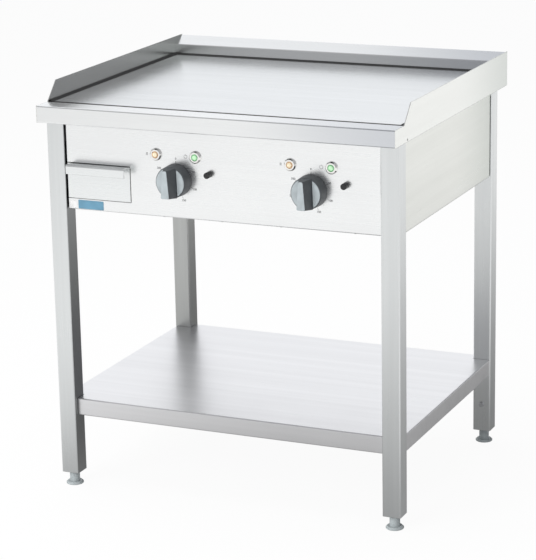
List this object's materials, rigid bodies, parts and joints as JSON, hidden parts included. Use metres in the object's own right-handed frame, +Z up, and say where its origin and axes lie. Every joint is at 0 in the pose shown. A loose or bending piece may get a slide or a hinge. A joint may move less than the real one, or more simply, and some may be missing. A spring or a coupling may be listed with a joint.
{
  "type": "flat top griddle",
  "caption": "Free-standing electric flat top griddle on an open leg frame with a lower shelf, splash guards, control knobs, indicator lamps and a pull-out drip drawer.",
  "frame": {"origin": "on the floor under the middle of the whole outline, the knobs included", "axes": "+X to the right seen from the front, +Y to the back, +Z up"},
  "size_m": [0.8, 0.719, 0.89],
  "materials": {
    "housing_steel": "fine satin stainless sheet",
    "top_steel": "fine satin stainless sheet, folded and welded",
    "leg_steel": "satin stainless tube",
    "plate_steel": "ground griddle plate steel",
    "inner_steel": "zinc-plated sheet and fasteners",
    "drawer_steel": "fine satin stainless sheet",
    "element_sheath": "oxidised heating element sheath",
    "fibre_board": "ceramic fibre board",
    "knob_plastic": "dark grey heat-proof plastic",
    "knob_silver": "silver-grey painted plastic",
    "cap_plastic": "black moulded plastic",
    "button_plastic": "red moulded plastic",
    "foot_plastic": "light grey moulded plastic",
    "insert_plastic": "black moulded plastic",
    "control_plastic": "moulded switchgear plastic",
    "bezel_chrome": "bright chromed ring",
    "orange_lens": "translucent orange lens",
    "green_lens": "translucent green lens",
    "gland_plastic": "black polyamide"
  },
  "bodies": {
    "griddle": {"bottom_cover": "inner_steel", "cable_gland": "gland_plastic", "clamp_studs": "inner_steel", "contactors": "control_plastic", "drain_chute": "inner_steel", "drawer_runners": "inner_steel", "earth_bolt": "inner_steel", "element_clamps": "inner_steel", "front_panel": "housing_steel", "front_rim": "top_steel", "griddle_plate": "plate_steel", "heating_element_left": "element_sheath", "heating_element_right": "element_sheath", "heating_lamp_lenses": "orange_lens", "housing_screws": "inner_steel", "insulation_board": "fibre_board", "insulation_tray": "inner_steel", "lamp_barrels": "control_plastic", "lamp_bezels": "bezel_chrome", "leg_front_left": "leg_steel", "leg_front_right": "leg_steel", "leg_inserts": "insert_plastic", "leg_rear_left": "leg_steel", "leg_rear_right": "leg_steel", "plate_supports": "inner_steel", "power_lamp_lenses": "green_lens", "rear_panel": "housing_steel", "rear_upstand": "top_steel", "safety_thermostats": "control_plastic", "shelf": "housing_steel", "shelf_bolts": "inner_steel", "shelf_brackets": "inner_steel", "shelf_nuts": "inner_steel", "shelf_stiffener": "inner_steel", "side_guard_left": "top_steel", "side_guard_right": "top_steel", "side_panel_left": "housing_steel", "side_panel_right": "housing_steel", "terminal_block": "control_plastic", "thermostat_left": "control_plastic", "thermostat_probes": "element_sheath", "thermostat_right": "control_plastic", "top_rails": "inner_steel"},
    "drip_drawer": {"drawer_front": "drawer_steel", "drawer_pan": "drawer_steel"},
    "foot_front_left": {"foot_front_left": "foot_plastic"},
    "foot_front_right": {"foot_front_right": "foot_plastic"},
    "foot_rear_left": {"foot_rear_left": "foot_plastic"},
    "foot_rear_right": {"foot_rear_right": "foot_plastic"},
    "knob_left": {"knob_face_left": "knob_silver", "knob_left": "knob_plastic", "knob_spindle_left": "inner_steel"},
    "knob_right": {"knob_face_right": "knob_silver", "knob_right": "knob_plastic", "knob_spindle_right": "inner_steel"},
    "reset_button_left": {"reset_button_left": "button_plastic"},
    "reset_button_right": {"reset_button_right": "button_plastic"},
    "reset_cap_left": {"reset_cap_left": "cap_plastic"},
    "reset_cap_right": {"reset_cap_right": "cap_plastic"}
  },
  "joints": [
    {"name": "drawer_slide", "type": "slide", "parent": "griddle", "child": "drip_drawer", "axis": [0, -1, 0], "range_m": [0, 0.32]},
    {"name": "knob_left_turn", "type": "hinge", "parent": "griddle", "child": "knob_left", "pos_m": [-0.097, -0.3035, 0.706], "axis": [0, 1, 0], "range_deg": [0, 300]},
    {"name": "reset_cap_left_slide", "type": "slide", "parent": "griddle", "child": "reset_cap_left", "axis": [0, -1, 0], "range_m": [0, 0.025]},
    {"name": "reset_button_left_press", "type": "slide", "parent": "griddle", "child": "reset_button_left", "axis": [0, 1, 0], "range_m": [0, 0.002], "stiffness_N_per_m": 400, "springref_m": -0.002},
    {"name": "knob_right_turn", "type": "hinge", "parent": "griddle", "child": "knob_right", "pos_m": [0.2045, -0.3035, 0.706], "axis": [0, 1, 0], "range_deg": [0, 300]},
    {"name": "reset_cap_right_slide", "type": "slide", "parent": "griddle", "child": "reset_cap_right", "axis": [0, -1, 0], "range_m": [0, 0.025]},
    {"name": "reset_button_right_press", "type": "slide", "parent": "griddle", "child": "reset_button_right", "axis": [0, 1, 0], "range_m": [0, 0.002], "stiffness_N_per_m": 400, "springref_m": -0.002},
    {"name": "foot_front_left_adjust", "type": "slide", "parent": "griddle", "child": "foot_front_left", "axis": [0, 0, -1], "range_m": [0, 0.02]},
    {"name": "foot_front_right_adjust", "type": "slide", "parent": "griddle", "child": "foot_front_right", "axis": [0, 0, -1], "range_m": [0, 0.02]},
    {"name": "foot_rear_left_adjust", "type": "slide", "parent": "griddle", "child": "foot_rear_left", "axis": [0, 0, -1], "range_m": [0, 0.02]},
    {"name": "foot_rear_right_adjust", "type": "slide", "parent": "griddle", "child": "foot_rear_right", "axis": [0, 0, -1], "range_m": [0, 0.02]}
  ]
}
